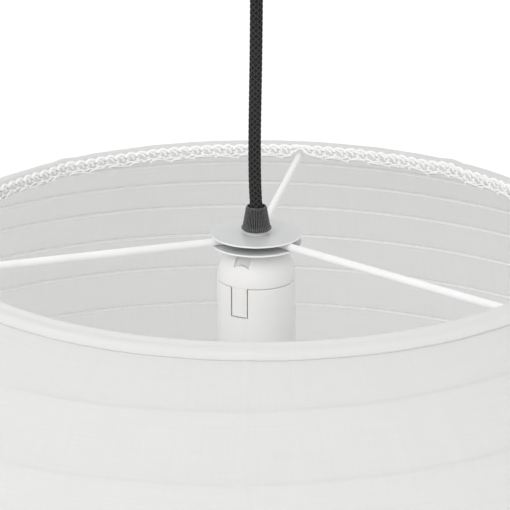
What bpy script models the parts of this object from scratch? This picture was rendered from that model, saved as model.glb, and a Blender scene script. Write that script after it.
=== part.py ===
"""Round accordion lantern of white cloth, hung from a ceiling cup on a textile cable.

Metres, +Z up. The origin is the centre of the ceiling bracket's top face, where the
lantern is fastened. +X points right and +Y points away from the viewer.
Everything hangs below z = 0. Heights named H are measured from the top of the upper
hub plate, and at() turns them into z.
"""

import math

import bmesh
import bpy
from mathutils import Matrix, Vector

GAP = 0.0003                      # room left between faces that touch
HUB_DROP = 0.185                  # ceiling to the top of the upper hub plate

# ---- the cloth shell: an oval ball cut off by the two openings ----
SHADE_RADIUS = 0.300              # largest radius, half way down
SHADE_HALF_HEIGHT = 0.200         # from the top rim to the widest height
OPENING_RADIUS = 0.159            # of the top and the bottom opening
RIM_H = 0.0050                    # top of the rolled rim
TURNS = 16                        # turns of the spiral wire
SPIRAL_START = math.radians(288)  # where the spiral leaves the top ring
SEGMENTS = 24                     # straight pieces that one turn is made of
PROFILE_STEPS = 800               # steps used to measure the shell's curve
WIRE_RADIUS = 0.0009
CLOTH_THICKNESS = 0.0005
WIRE_END_GAP = math.radians(0.15)
HEM_LENGTH = 0.009                # how far the rolled hem runs down the outside

# ---- rings and spokes ----
RING_RADIUS = 0.1560
RING_WIRE_RADIUS = 0.002
TOP_RING_H = 0.0017
SPOKE_RADIUS = 0.0018
SPOKE_INNER = 0.0065
SPOKE_OUTER = 0.1570
SPOKE_ANGLES = {"spoke_back": 80.5, "spoke_left": 199, "spoke_right": 318}

# ---- hub plates ----
PLATE_RADIUS = 0.0227
PLATE_THICKNESS = 0.0009
BOSS_RADIUS = 0.0060              # of the upper plate's raised middle, under the cord grip
BOSS_HEIGHT = 0.0015
PLATE_SPACE = 0.0038              # between the two plates, filled by the spokes
HUB_BORE = 0.0053

# ---- cable, its grips and the nipple ----
CABLE_RADIUS = 0.0031
CABLE_LOW_H = 0.0122
CABLE_HIGH_H = 0.1288
LOWER_TAIL_H = (-0.0240, 0.0113)
UPPER_TAIL_TOP_Z = -0.0288
UPPER_TAIL_LOW_H = 0.1297
GRIP_FOOT_H = 0.0018
GRIP_LENGTH = 0.0121
GRIP_MOUTH_RADIUS = 0.00525
GRIP_MOUTH_DEPTH = 0.0022
GRIP_THROAT = 0.0035              # bore round the cable
GRIP_THREAD_DEPTH = 0.0080        # bore for the nipple
GRIP_FOOT_RADIUS = 0.0076
GRIP_LIP = 0.0009                 # lower edge of the round flange at the foot
GRIP_STUB = 0.0105                # of the cup's grip, up through the cup's floor
NIPPLE_RADIUS = 0.0050
NIPPLE_BORE = 0.00345
NIPPLE_H = (-0.0160, 0.0080)
NUT_H = (-0.0113, -0.0083)
NUT_RADIUS = 0.0085

# ---- lampholder for a 27 mm screw cap ----
HOLDER_RADIUS = 0.0198
CAP_DOME = 0.0209                 # height of the oval dome that the cap is cut from
CAP_H = (-0.0234, -0.0060)
CAP_STEPS = 8
CAP_INSIDE = (                    # (radius, H) from the seam up to the cap's ceiling
    (0.0174, -0.0234), (0.0170, -0.0185), (0.0158, -0.0150), (0.0138, -0.0115),
    (0.0098, -0.0080), (HUB_BORE, -0.0080),
)
BODY_H = (-0.0600, -0.0237)
BODY_RADIUS = 0.0198
BODY_BORE = 0.0173
BODY_LIP_BORE = 0.0150            # of the turned-in lip at the body's mouth
BODY_LIP = 0.0018
SLOT_REACH = 0.010                # size of the cutters across the wall
NOTCH_REACH = 0.008
INSERT_H = (-0.0579, -0.0270)
INSERT_RADIUS = 0.0169
SOCKET_BORE = 0.0142
SOCKET_FLOOR_H = -0.0380
RIVET_BORE = 0.0015
CONTACT_THICKNESS = 0.0006
SHELL_RADIUS = 0.0139
SHELL_BORE = 0.0134
SHELL_H = (-0.0565, -0.0400)
LATCH_ANGLE = math.radians(244)
LATCH_WIDTH = 0.0078
LATCH_H = (-0.0385, -0.0238)
LATCH_THICKNESS = 0.0019
NOTCH_H = (-0.0124, -0.0040)
NOTCH_FLOOR = 0.0150

# ---- ceiling fitting ----
CUP_RADIUS = 0.050
CUP_DEPTH = 0.045
CUP_WALL = 0.0015
CUP_EDGE = 0.008                  # radius of the cup's rounded lower edge
CUP_SCREW_Z = -0.0085
BRACKET_HALF_LENGTH = 0.0472
BRACKET_HALF_WIDTH = 0.008
BRACKET_THICKNESS = 0.0015
BRACKET_TAB = 0.0125
BRACKET_HOLE_X = 0.028
BRACKET_HOLE_RADIUS = 0.0024
CUP_SCREW_HOLE = 0.0018           # radius of the hole for a cup screw
CUP_SCREW_RADIUS = 0.0015
CUP_SCREW_SHANK = 0.0072
CUP_SCREW_HEAD = (0.0032, 0.0018)  # radius and height
BLOCK_SIZE = (0.024, 0.012, 0.012)
BLOCK_Z = -0.0222

COLLECTION = "accordion_lantern"
CUTTERS = "cutters"


def at(height):
    """The z of a height measured from the top of the upper hub plate."""
    return height - HUB_DROP


# ---------------------------------------------------------------- scene helpers


def clear_scene():
    for thing in list(bpy.data.objects):
        bpy.data.objects.remove(thing, do_unlink=True)


def collection(name):
    made = bpy.data.collections.new(name)
    bpy.context.scene.collection.children.link(made)
    return made


def material(name, colour, roughness, metallic=0.0):
    made = bpy.data.materials.new(name)
    made.use_nodes = True
    shader = made.node_tree.nodes["Principled BSDF"]
    shader.inputs["Base Color"].default_value = (*colour, 1.0)
    shader.inputs["Roughness"].default_value = roughness
    shader.inputs["Metallic"].default_value = metallic
    return made


def add(name, data, finish, group=COLLECTION):
    thing = bpy.data.objects.new(name, data)
    bpy.data.collections[group].objects.link(thing)
    if finish is not None:
        data.materials.append(finish)
    return thing


def as_mesh(curve_object):
    """Turn a curve object into a welded mesh object of the same name and place."""
    bpy.context.view_layer.update()
    seen = curve_object.evaluated_get(bpy.context.evaluated_depsgraph_get())
    mesh = bpy.data.meshes.new_from_object(seen)
    work = bmesh.new()
    work.from_mesh(mesh)
    bmesh.ops.remove_doubles(work, verts=work.verts, dist=1e-6)
    bmesh.ops.recalc_face_normals(work, faces=work.faces)
    work.to_mesh(mesh)
    work.free()
    name, place = curve_object.name, curve_object.matrix_world.copy()
    group = curve_object.users_collection[0].name
    bpy.data.objects.remove(curve_object, do_unlink=True)
    thing = bpy.data.objects.new(name, mesh)
    bpy.data.collections[group].objects.link(thing)
    thing.matrix_world = place
    return thing


# ---------------------------------------------------------------- shape helpers


def turned(name, profile, finish, steps=SEGMENTS, turn=0.0, closed=True):
    """A turned shape. The profile holds (radius, z) and runs down its outer side."""
    mesh = bpy.data.meshes.new(name)
    count = len(profile)
    edges = [(i, i + 1) for i in range(count - 1)]
    if closed:
        edges.append((count - 1, 0))
    mesh.from_pydata([(r, 0, z) for r, z in profile], edges, [])
    thing = add(name, mesh, finish)
    thing.rotation_euler.z = turn
    screw = thing.modifiers.new("turn", "SCREW")
    screw.axis = "Z"
    screw.angle = 2 * math.pi
    screw.steps = steps
    screw.render_steps = steps
    screw.use_merge_vertices = True
    screw.merge_threshold = 0.00001
    screw.use_smooth_shade = True
    return thing


def tube(name, points, radius, finish, resolution=2):
    """A round bar along the points, with flat ends."""
    curve = bpy.data.curves.new(name, "CURVE")
    curve.dimensions = "3D"
    curve.bevel_depth = radius
    curve.bevel_resolution = resolution
    curve.use_fill_caps = True
    spline = curve.splines.new("POLY")
    spline.points.add(len(points) - 1)
    for place, point in zip(spline.points, points):
        place.co = (*point, 1)
    return add(name, curve, finish)


def extruded(name, outline, half_depth, finish, place=Matrix()):
    """A flat outline, given in its own XY plane, thickened both ways along its Z."""
    curve = bpy.data.curves.new(name, "CURVE")
    curve.dimensions = "2D"
    curve.fill_mode = "BOTH"
    curve.extrude = half_depth
    spline = curve.splines.new("POLY")
    spline.points.add(len(outline) - 1)
    for spot, (x, y) in zip(spline.points, outline):
        spot.co = (x, y, 0, 1)
    spline.use_cyclic_u = True
    thing = add(name, curve, finish)
    thing.matrix_world = place
    return as_mesh(thing)


def box(name, size, centre, finish, turn=0.0, group=COLLECTION):
    mesh = bpy.data.meshes.new(name)
    work = bmesh.new()
    bmesh.ops.create_cube(work, size=1.0, matrix=Matrix.Diagonal((*size, 1)))
    work.to_mesh(mesh)
    work.free()
    thing = add(name, mesh, finish, group)
    thing.location = centre
    thing.rotation_euler.z = turn
    return thing


def cylinder(name, radius, length, place, finish, sides=16, group=COLLECTION):
    """A round bar along the Z of the matrix place, centred on it."""
    mesh = bpy.data.meshes.new(name)
    work = bmesh.new()
    bmesh.ops.create_cone(
        work, cap_ends=True, segments=sides, radius1=radius, radius2=radius, depth=length
    )
    work.to_mesh(mesh)
    work.free()
    thing = add(name, mesh, finish, group)
    thing.matrix_world = place
    return thing


def ring(name, radius, wire_radius, height, finish):
    """A closed ring of round wire, turned from a round section."""
    section = arc((radius, height), wire_radius, 90, -270, 8)[:-1]
    return turned(name, section, finish, turn=SPIRAL_START)


def arc(centre, radius, start, end, steps):
    """Points on an arc in the (radius, z) plane, from start to end in degrees."""
    points = []
    for i in range(steps + 1):
        angle = math.radians(start + (end - start) * i / steps)
        points.append((centre[0] + radius * math.cos(angle), centre[1] + radius * math.sin(angle)))
    return points


def rounded(thing, width, segments=1):
    bevel = thing.modifiers.new("edges", "BEVEL")
    bevel.width = width
    bevel.segments = segments
    return thing


def cut(thing, cutter):
    cutter.hide_render = True
    cutter.display_type = "WIRE"
    boolean = thing.modifiers.new("cut", "BOOLEAN")
    boolean.operation = "DIFFERENCE"
    boolean.solver = "EXACT"
    boolean.object = cutter
    return thing


def polar(radius, angle, z=0.0):
    return Vector((radius * math.cos(angle), radius * math.sin(angle), z))


def along_x(x, y, z):
    """A matrix at the point given whose Z runs along the world's X."""
    return Matrix.Translation((x, y, z)) @ Matrix.Rotation(math.pi / 2, 4, "Y")


# ---------------------------------------------------------------- the shell's curve


def shell_scale():
    """Half height of the whole oval, whose ends the openings cut off."""
    cut_share = OPENING_RADIUS / SHADE_RADIUS
    return SHADE_HALF_HEIGHT / math.sqrt(1 - cut_share ** 2)


def shell_point(depth):
    """(radius, z) of the cloth's outer face at a depth below the rim."""
    share = (SHADE_HALF_HEIGHT - depth) / shell_scale()
    return SHADE_RADIUS * math.sqrt(1 - share ** 2), at(RIM_H) - depth


def shell_curve():
    """The depth and the length along the cloth at evenly spaced depths."""
    depths = [2 * SHADE_HALF_HEIGHT * i / PROFILE_STEPS for i in range(PROFILE_STEPS + 1)]
    lengths = [0.0]
    for a, b in zip(depths, depths[1:]):
        (ra, za), (rb, zb) = shell_point(a), shell_point(b)
        lengths.append(lengths[-1] + math.hypot(rb - ra, zb - za))
    return depths, lengths


def shell_at(length, curve):
    """(radius, z) after a length along the cloth, from the rim downwards."""
    depths, lengths = curve
    for i in range(1, len(lengths)):
        if lengths[i] >= length:
            share = (length - lengths[i - 1]) / (lengths[i] - lengths[i - 1])
            return shell_point(depths[i - 1] + share * (depths[i] - depths[i - 1]))
    return shell_point(depths[-1])


def band_edges():
    """(radius, z) at the edges of the cloth bands, one band to each turn of wire."""
    curve = shell_curve()
    total = curve[1][-1]
    return [shell_at(total * i / TURNS, curve) for i in range(TURNS + 1)]


def inward(top, bottom):
    """The unit step in (radius, z) from the cloth's outer face towards its inside."""
    run = Vector((bottom[0] - top[0], bottom[1] - top[1])).normalized()
    return Vector((run.y, -run.x))


def wire_points(top, bottom):
    """One turn of the spiral, running clockwise seen from above, inside its band."""
    depth = CLOTH_THICKNESS + GAP + WIRE_RADIUS
    step = inward(top, bottom) * depth
    points = []
    for i in range(SEGMENTS + 1):
        share = i / SEGMENTS
        angle = SPIRAL_START - 2 * math.pi * share
        if i == 0:
            angle -= WIRE_END_GAP
        if i == SEGMENTS:
            angle += WIRE_END_GAP
        radius = top[0] + (bottom[0] - top[0]) * share + step.x
        z = top[1] + (bottom[1] - top[1]) * share + step.y
        points.append(polar(radius, angle, z))
    return points


# ---------------------------------------------------------------- the lantern's shade


def make_bands(edges, cloth, steel):
    """Each band of cloth and the turn of wire that it is glued to."""
    for number, (top, bottom) in enumerate(zip(edges, edges[1:]), start=1):
        run = Vector((bottom[0] - top[0], bottom[1] - top[1]))
        step = run.normalized() * GAP
        low = (bottom[0] - step.x, bottom[1] - step.y)
        high = (top[0] + step.x, top[1] + step.y)
        if number == 1:
            high = shorten(top, bottom, HEM_LENGTH + 2 * GAP)
        if number == TURNS:
            low = shorten(bottom, top, HEM_LENGTH + 2 * GAP)
        band = turned(
            f"fabric_band_{number:02d}", [high, low], cloth, turn=SPIRAL_START, closed=False
        )
        thick = band.modifiers.new("thickness", "SOLIDIFY")
        thick.thickness = CLOTH_THICKNESS
        thick.offset = -1
        thick.use_even_offset = True
        tube(f"wire_turn_{number:02d}", wire_points(top, bottom), WIRE_RADIUS, steel, 1)


def shorten(start, end, length):
    """The point a length along the straight line from start towards end."""
    run = (Vector(end) - Vector(start)).normalized()
    return start[0] + run.x * length, start[1] + run.y * length


def hem_profile(rim, next_edge, side):
    """A channel folded over a ring. side is 1 at the top opening and -1 at the bottom."""
    run = (Vector(next_edge) - Vector(rim)).normalized()
    skirt = shorten(rim, next_edge, HEM_LENGTH)
    under = Vector((-abs(run.y), -side * abs(run.x))) * CLOTH_THICKNESS
    ring_foot = at(TOP_RING_H) - RING_WIRE_RADIUS
    inner = RING_RADIUS - RING_WIRE_RADIUS - GAP
    middle = rim[1] - side * (at(RIM_H) - ring_foot)
    lid = rim[1] - side * CLOTH_THICKNESS
    points = [
        (inner - CLOTH_THICKNESS, rim[1]),
        rim,
        skirt,
        (skirt[0] + under.x, skirt[1] + under.y),
        (rim[0] + under.x, lid),
        (inner, lid),
        (inner, middle),
        (inner - CLOTH_THICKNESS, middle),
    ]
    return points if side > 0 else points[::-1]


def make_rims(edges, cloth, steel):
    top_z = at(TOP_RING_H)
    drop = at(RIM_H) - top_z
    ring("top_ring", RING_RADIUS, RING_WIRE_RADIUS, top_z, steel)
    ring("bottom_ring", RING_RADIUS, RING_WIRE_RADIUS, edges[-1][1] + drop, steel)
    turned("top_hem", hem_profile(edges[0], edges[1], 1), cloth, turn=SPIRAL_START)
    turned("bottom_hem", hem_profile(edges[-1], edges[-2], -1), cloth, turn=SPIRAL_START)


def make_spider(paint):
    """The two round plates and the three spokes held between them."""
    spoke_z = at(-PLATE_THICKNESS - PLATE_SPACE / 2)
    for name, degrees in SPOKE_ANGLES.items():
        angle = math.radians(degrees)
        ends = [polar(SPOKE_INNER, angle, spoke_z), polar(SPOKE_OUTER, angle, spoke_z)]
        tube(name, ends, SPOKE_RADIUS, paint)
    plate_tops = {"upper_plate": 0.0, "lower_plate": -PLATE_THICKNESS - PLATE_SPACE}
    for name, top in plate_tops.items():
        low = at(top - PLATE_THICKNESS)
        boss = BOSS_HEIGHT if name == "upper_plate" else 0.0
        profile = [
            (PLATE_RADIUS - PLATE_THICKNESS / 4, at(top)),
            (PLATE_RADIUS, at(top - PLATE_THICKNESS / 4)),
            (PLATE_RADIUS, low),
            (HUB_BORE, low),
            (HUB_BORE, at(top + boss)),
        ]
        if boss:
            profile += [(BOSS_RADIUS - PLATE_THICKNESS / 2, at(boss)), (BOSS_RADIUS, at(0.0))]
        turned(name, profile, paint, steps=32)


# ---------------------------------------------------------------- cable and grips


def grip_profile(foot, side, bore, bore_depth):
    """A conical grip standing on foot. side is 1 with its mouth up, -1 with it down."""
    mouth_floor = GRIP_LENGTH - GRIP_MOUTH_DEPTH
    outline = [
        (GRIP_MOUTH_RADIUS, GRIP_LENGTH),
        (GRIP_FOOT_RADIUS - 0.0006, 0.0022),
        (GRIP_FOOT_RADIUS, 0.0015),
        (GRIP_FOOT_RADIUS, GRIP_LIP),
        (GRIP_FOOT_RADIUS - 0.0004, 0.0),
        (bore, 0.0),
        (bore, bore_depth),
        (GRIP_THROAT, bore_depth),
        (GRIP_THROAT, mouth_floor),
        (GRIP_MOUTH_RADIUS - 0.001, mouth_floor),
        (GRIP_MOUTH_RADIUS - 0.0008, GRIP_LENGTH),
    ]
    points = [(r, foot + side * z) for r, z in outline]
    return points if side > 0 else points[::-1]


def cup_grip_profile():
    """The ceiling cup's grip: the same cone upside down, with a stub up into the cup."""
    foot = -CUP_DEPTH - GAP
    stub_top = foot + GRIP_STUB
    bore = NIPPLE_BORE
    cone = grip_profile(foot, -1, bore, GRIP_LENGTH / 2)
    outside = [p for p in cone if p[0] > NIPPLE_RADIUS]
    mouth = foot - GRIP_LENGTH + GRIP_MOUTH_DEPTH
    return (
        [(NIPPLE_RADIUS - GAP, stub_top), (NIPPLE_RADIUS - GAP, foot)]
        + outside
        + [
            (GRIP_MOUTH_RADIUS - 0.0008, foot - GRIP_LENGTH),
            (GRIP_MOUTH_RADIUS - 0.001, mouth),
            (bore, mouth),
            (bore, stub_top),
        ]
    )


def straight(low, high, count):
    """Evenly spaced points straight up the middle, from low to high."""
    return [(0, 0, low + (high - low) * i / (count - 1)) for i in range(count)]


def make_cable(textile, plastic, zinc):
    free_points = straight(at(CABLE_LOW_H), at(CABLE_HIGH_H), 9)
    tube("cable", free_points, CABLE_RADIUS, textile, 3)
    low, high = LOWER_TAIL_H
    tube("cable_lower_tail", straight(at(low), at(high), 3), CABLE_RADIUS, textile, 3)
    upper = straight(at(UPPER_TAIL_LOW_H), UPPER_TAIL_TOP_Z, 3)
    tube("cable_upper_tail", upper, CABLE_RADIUS, textile, 3)
    lamp_grip = grip_profile(at(GRIP_FOOT_H), 1, HUB_BORE, GRIP_THREAD_DEPTH)
    turned("cord_grip", lamp_grip, plastic, steps=24)
    turned("cup_cord_grip", cup_grip_profile(), plastic, steps=24)
    low, high = (at(h) for h in NIPPLE_H)
    nipple = [(NIPPLE_RADIUS, high), (NIPPLE_RADIUS, low), (NIPPLE_BORE, low), (NIPPLE_BORE, high)]
    turned("threaded_nipple", nipple, zinc, steps=24)
    low, high = (at(h) for h in NUT_H)
    nut = [(NUT_RADIUS, high), (NUT_RADIUS, low)]
    bore = [(HUB_BORE / math.cos(math.pi / 6), low), (HUB_BORE / math.cos(math.pi / 6), high)]
    turned("nipple_nut", nut + bore, zinc, steps=6)


# ---------------------------------------------------------------- lampholder


def make_lampholder(shell_plastic, ceramic, brass):
    make_holder_cap(shell_plastic)
    make_holder_body(shell_plastic)
    make_latch(shell_plastic)
    make_socket(ceramic, brass)


def make_holder_cap(finish):
    low, high = (at(h) for h in CAP_H)
    outside = []
    for i in range(CAP_STEPS + 1):
        z = high + (low - high) * i / CAP_STEPS
        outside.append((HOLDER_RADIUS * math.sqrt(1 - ((z - low) / CAP_DOME) ** 2), z))
    inside = [(r, at(h)) for r, h in CAP_INSIDE] + [(HUB_BORE, high)]
    cap = turned("holder_cap", outside + inside, finish, steps=32)
    low, high = (at(h) for h in NOTCH_H)
    centre = polar(NOTCH_FLOOR + NOTCH_REACH / 2, LATCH_ANGLE, (low + high) / 2)
    size = (NOTCH_REACH, LATCH_WIDTH, high - low)
    cut(cap, box("notch_cutter", size, centre, None, LATCH_ANGLE, CUTTERS))


def make_holder_body(finish):
    low, high = (at(h) for h in BODY_H)
    profile = [
        (BODY_RADIUS, high),
        (BODY_RADIUS, low + 0.0008),
        (BODY_RADIUS - 0.0008, low),
        (BODY_LIP_BORE, low),
        (BODY_LIP_BORE, low + BODY_LIP),
        (BODY_BORE, low + BODY_LIP),
        (BODY_BORE, high),
    ]
    body = turned("holder_body", profile, finish, steps=32)
    slot_low, slot_high = at(LATCH_H[0]) - 0.0004, high + 0.004
    centre = polar(BODY_RADIUS, LATCH_ANGLE, (slot_low + slot_high) / 2)
    size = (SLOT_REACH, LATCH_WIDTH + 2 * GAP, slot_high - slot_low)
    cut(body, box("slot_cutter", size, centre, None, LATCH_ANGLE, CUTTERS))


def make_latch(finish):
    """The cap's springy tongue: a curved strip that fills the slot in the body."""
    low, high = (at(h) for h in LATCH_H)
    steps = 4
    half_out = math.asin(LATCH_WIDTH / 2 / BODY_RADIUS)
    inner = BODY_RADIUS - LATCH_THICKNESS
    half_in = math.asin(LATCH_WIDTH / 2 / inner)
    outer_side, inner_side = [], []
    for i in range(steps + 1):
        share = 2 * i / steps - 1
        outer_side.append(polar(BODY_RADIUS, LATCH_ANGLE + share * half_out).to_2d())
        inner_side.append(polar(inner, LATCH_ANGLE - share * half_in).to_2d())
    middle = Matrix.Translation((0, 0, (low + high) / 2))
    extruded("cap_latch", outer_side + inner_side, (high - low) / 2, finish, middle)


def make_socket(ceramic, brass):
    low, high = (at(h) for h in INSERT_H)
    insert = [
        (INSERT_RADIUS, high),
        (INSERT_RADIUS, low),
        (SOCKET_BORE, low),
        (SOCKET_BORE, at(SOCKET_FLOOR_H)),
        (RIVET_BORE, at(SOCKET_FLOOR_H)),
        (RIVET_BORE, high),
    ]
    turned("holder_insert", insert, ceramic, steps=24)
    low, high = (at(h) for h in SHELL_H)
    shell = [(SHELL_RADIUS, high), (SHELL_RADIUS, low), (SHELL_BORE, low), (SHELL_BORE, high)]
    turned("screw_shell", shell, brass, steps=24)
    thick = CONTACT_THICKNESS
    strip_z = at(SOCKET_FLOOR_H) - GAP - thick / 2
    box("centre_contact", (0.006, 0.014, thick), (0.0, 0.0, strip_z), brass)
    box("side_contact", (0.004, 0.006, thick), (0.0090, 0.0, strip_z), brass)


# ---------------------------------------------------------------- ceiling fitting


def make_ceiling_fitting(enamel, zinc, white):
    edge = CUP_EDGE
    outside = [(CUP_RADIUS, 0.0)]
    outside += arc((CUP_RADIUS - edge, edge - CUP_DEPTH), edge, 0, -90, 5)
    inner_edge = edge - CUP_WALL
    floor = CUP_WALL - CUP_DEPTH
    inside = arc((CUP_RADIUS - edge, floor + inner_edge), inner_edge, -90, 0, 5)
    bottom = [(HUB_BORE, -CUP_DEPTH), (HUB_BORE, floor)]
    profile = outside + bottom + inside + [(CUP_RADIUS - CUP_WALL, 0.0)]
    cup = turned("ceiling_cup", profile, enamel, steps=32)
    bracket = make_bracket(zinc)
    for side, word in ((-1, "left"), (1, "right")):
        at_screw = along_x(side * CUP_RADIUS, 0, CUP_SCREW_Z)
        drill = cylinder(f"screw_drill_{word}", CUP_SCREW_HOLE, 0.016, at_screw, None, 12, CUTTERS)
        cut(cup, drill)
        cut(bracket, drill)
        make_cup_screw(f"cup_screw_{word}", side, zinc)
    rounded(box("terminal_block", BLOCK_SIZE, (0, 0, BLOCK_Z), white), 0.0012)


def make_bracket(finish):
    """A flat strap on the ceiling with a tab turned down at each end."""
    x, t, tab = BRACKET_HALF_LENGTH, BRACKET_THICKNESS, BRACKET_TAB
    outline = [(-x, 0), (-x, -tab), (t - x, -tab), (t - x, -t)]
    outline += [(x - t, -t), (x - t, -tab), (x, -tab), (x, 0)]
    upright = Matrix.Rotation(math.pi / 2, 4, "X")
    bracket = extruded("ceiling_bracket", outline, BRACKET_HALF_WIDTH, finish, upright)
    for side, word in ((-1, "left"), (1, "right")):
        place = Matrix.Translation((side * BRACKET_HOLE_X, 0, 0))
        drill = cylinder(
            f"ceiling_drill_{word}", BRACKET_HOLE_RADIUS, 0.008, place, None, 12, CUTTERS
        )
        cut(bracket, drill)
    return bracket


def make_cup_screw(name, side, finish):
    """A screw through the cup's wall into the bracket's tab, turned about X."""
    head_radius, head = CUP_SCREW_HEAD
    start = CUP_RADIUS + GAP
    profile = [
        (0.0, start + head),
        (head_radius * 0.6, start + head),
        (head_radius, start + head * 0.5),
        (head_radius, start),
        (CUP_SCREW_RADIUS, start),
        (CUP_SCREW_RADIUS, start - CUP_SCREW_SHANK),
        (0.0, start - CUP_SCREW_SHANK),
    ]
    screw = turned(name, profile, finish, steps=12, closed=False)
    tilt = Matrix.Rotation(side * math.pi / 2, 4, "Y")
    screw.matrix_world = Matrix.Translation((0, 0, CUP_SCREW_Z)) @ tilt


# ---------------------------------------------------------------- the whole lantern


def main():
    clear_scene()
    collection(COLLECTION)
    collection(CUTTERS)
    cloth = material("white_cloth", (0.86, 0.86, 0.85), 0.85)
    wire = material("shade_wire", (0.75, 0.75, 0.75), 0.45)
    paint = material("white_paint", (0.85, 0.86, 0.87), 0.3)
    textile = material("black_textile", (0.012, 0.012, 0.013), 0.8)
    black = material("black_plastic", (0.02, 0.02, 0.021), 0.5)
    holder = material("lampholder_plastic", (0.82, 0.81, 0.79), 0.4)
    ceramic = material("socket_insert", (0.80, 0.79, 0.76), 0.5)
    brass = material("contact_brass", (0.75, 0.58, 0.28), 0.3, 1.0)
    zinc = material("zinc_steel", (0.62, 0.63, 0.65), 0.35, 1.0)
    white = material("white_nylon", (0.85, 0.85, 0.83), 0.5)

    edges = band_edges()
    make_bands(edges, cloth, wire)
    make_rims(edges, cloth, paint)
    make_spider(paint)
    make_cable(textile, black, zinc)
    make_lampholder(holder, ceramic, brass)
    make_ceiling_fitting(black, zinc, white)


main()
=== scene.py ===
"""The looks of the round accordion lantern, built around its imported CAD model.

Metres, +Z up, in the CAD frame. Heights named H are measured from the top of the upper
hub plate, and at() turns them into z. Azimuths run anticlockwise seen from above, from +X.
"""

import math
from collections import namedtuple

import bmesh
import bpy
import numpy as np
from mathutils import Matrix, Vector, noise


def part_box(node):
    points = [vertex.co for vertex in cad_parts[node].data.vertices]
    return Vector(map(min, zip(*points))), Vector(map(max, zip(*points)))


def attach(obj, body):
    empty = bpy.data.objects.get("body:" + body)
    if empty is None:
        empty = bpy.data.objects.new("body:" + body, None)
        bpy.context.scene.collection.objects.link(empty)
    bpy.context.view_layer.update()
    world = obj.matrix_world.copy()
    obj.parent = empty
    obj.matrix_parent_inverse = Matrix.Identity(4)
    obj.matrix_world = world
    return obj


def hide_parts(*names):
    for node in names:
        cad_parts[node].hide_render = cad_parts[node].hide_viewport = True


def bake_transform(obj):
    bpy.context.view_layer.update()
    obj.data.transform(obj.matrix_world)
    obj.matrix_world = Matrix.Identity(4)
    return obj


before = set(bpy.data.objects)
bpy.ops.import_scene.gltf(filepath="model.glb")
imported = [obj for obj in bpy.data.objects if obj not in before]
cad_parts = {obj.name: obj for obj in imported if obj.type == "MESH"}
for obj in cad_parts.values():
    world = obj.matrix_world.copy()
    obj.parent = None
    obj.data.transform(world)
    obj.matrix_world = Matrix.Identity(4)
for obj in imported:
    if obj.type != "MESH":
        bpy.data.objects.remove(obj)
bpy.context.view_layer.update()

PLATE_THICKNESS = 0.0009
HUB_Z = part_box("upper_plate")[0].z + PLATE_THICKNESS
RIM_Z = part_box("top_hem")[1].z
FOOT_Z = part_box("bottom_hem")[0].z

# ---- the cloth shell, as in the CAD model ----
SHADE_RADIUS = 0.300
OPENING_RADIUS = 0.159
HALF_HEIGHT = (RIM_Z - FOOT_Z) / 2
TURNS = 16
SPIRAL_START = math.radians(288)
HEM_LENGTH = 0.0088
HEM_OVERLAP = 0.0050               # where the first and last bands start, under the hems
PROFILE_STEPS = 4000

# ---- how finely the cloth is meshed, and its small shapes ----
AROUND = 320                       # columns round the shade
BAND_ROWS = 20                     # rows in one band
CLOTH_SAG = 0.0009                 # how far the cloth draws in between two turns of wire
CLOTH_RIPPLE = 0.00022
SEAM_ANGLE = math.radians(269.2)
SEAM_HALF_WIDTH = 0.0013
SEAM_HEIGHT = 0.00035
WIRE_RADIUS = 0.0009
WIRE_GLUE = 0.00025                # between the wire and the cloth
WIRE_SIDES = 10
HIDDEN_SHARE = 0.16                # of the first and last turn, cut short under the hems

# ---- the rolled rim and its stitched edging ----
RING_RADIUS = 0.1570
RING_DROP = 0.0028                 # from the rim's highest edge to the ring's centre
RING_Z = RIM_Z - RING_DROP
FOOT_RING_Z = FOOT_Z + RING_DROP
RING_WIRE = 0.002
ROLL_RADIUS = 0.0026               # of the cloth rolled over the ring
FLAP_DROP = 0.0066                 # inner flap, below the ring's centre
HEM_LIFT = 0.0005
HEM_TUCK = 0.0008                  # how far the hem dips where it meets the roll
RIM_CLOTH = 0.0004                 # thickness of its two layers
RIM_KINKS = (math.radians(133.6), math.radians(45.8))
KINK_HEIGHT = 0.0011
EDGING_TOP = 0.0007                # above the ring's centre
LOOP_COUNT = 148
LOOP_POINTS = 16

Wave = namedtuple("Wave", "middle swing phase jitter")
Thread = namedtuple("Thread", "word row radius rate along down reach")
QUARTER = math.pi / 2
EDGING = (                         # waves along the rim, down the flap, and away from it
    Thread("loops", 0, 0.00084, 1.0, Wave(0.0, 0.35, 0.35, 0.10),
           Wave(0.31, 0.29, -QUARTER, 0.07), Wave(-0.0002, 0.0003, 0.0, 0.0)),
    Thread("fringe", 1, 0.00044, 0.5, Wave(0.0, 0.42, 2.2, 0.0),
           Wave(0.93, 0.09, 0.0, 0.05), Wave(0.0006, 0.0005, QUARTER, 0.0)),
    Thread("cross", 2, 0.00044, 1.0, Wave(0.0, 0.25, 2.9, 0.0),
           Wave(0.76, 0.07, QUARTER + 0.6, 0.04), Wave(0.0008, 0.0004, QUARTER, 0.0)),
    Thread("filling", 3, 0.00062, 1.0, Wave(0.5, 0.30, 0.9, 0.10),
           Wave(0.34, 0.22, 0.4 - QUARTER, 0.05), Wave(-0.0003, -0.0002, 0.0, 0.0)),
)

# ---- hub ----
HUB_BORE = 0.0053
BOSS_HEIGHT = 0.0015               # the upper plate's raised middle, under the cord grip
BOSS_TOP, BOSS_FOOT = 0.0056, 0.0062   # its radii
PLATE_ROUNDING = 0.00016
SPOKES = {"spoke_back": 80.5, "spoke_left": 199, "spoke_right": 318}
SPOKE_RADIUS = 0.0019
SPOKE_ENDS = (0.0065, 0.1572)

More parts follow.
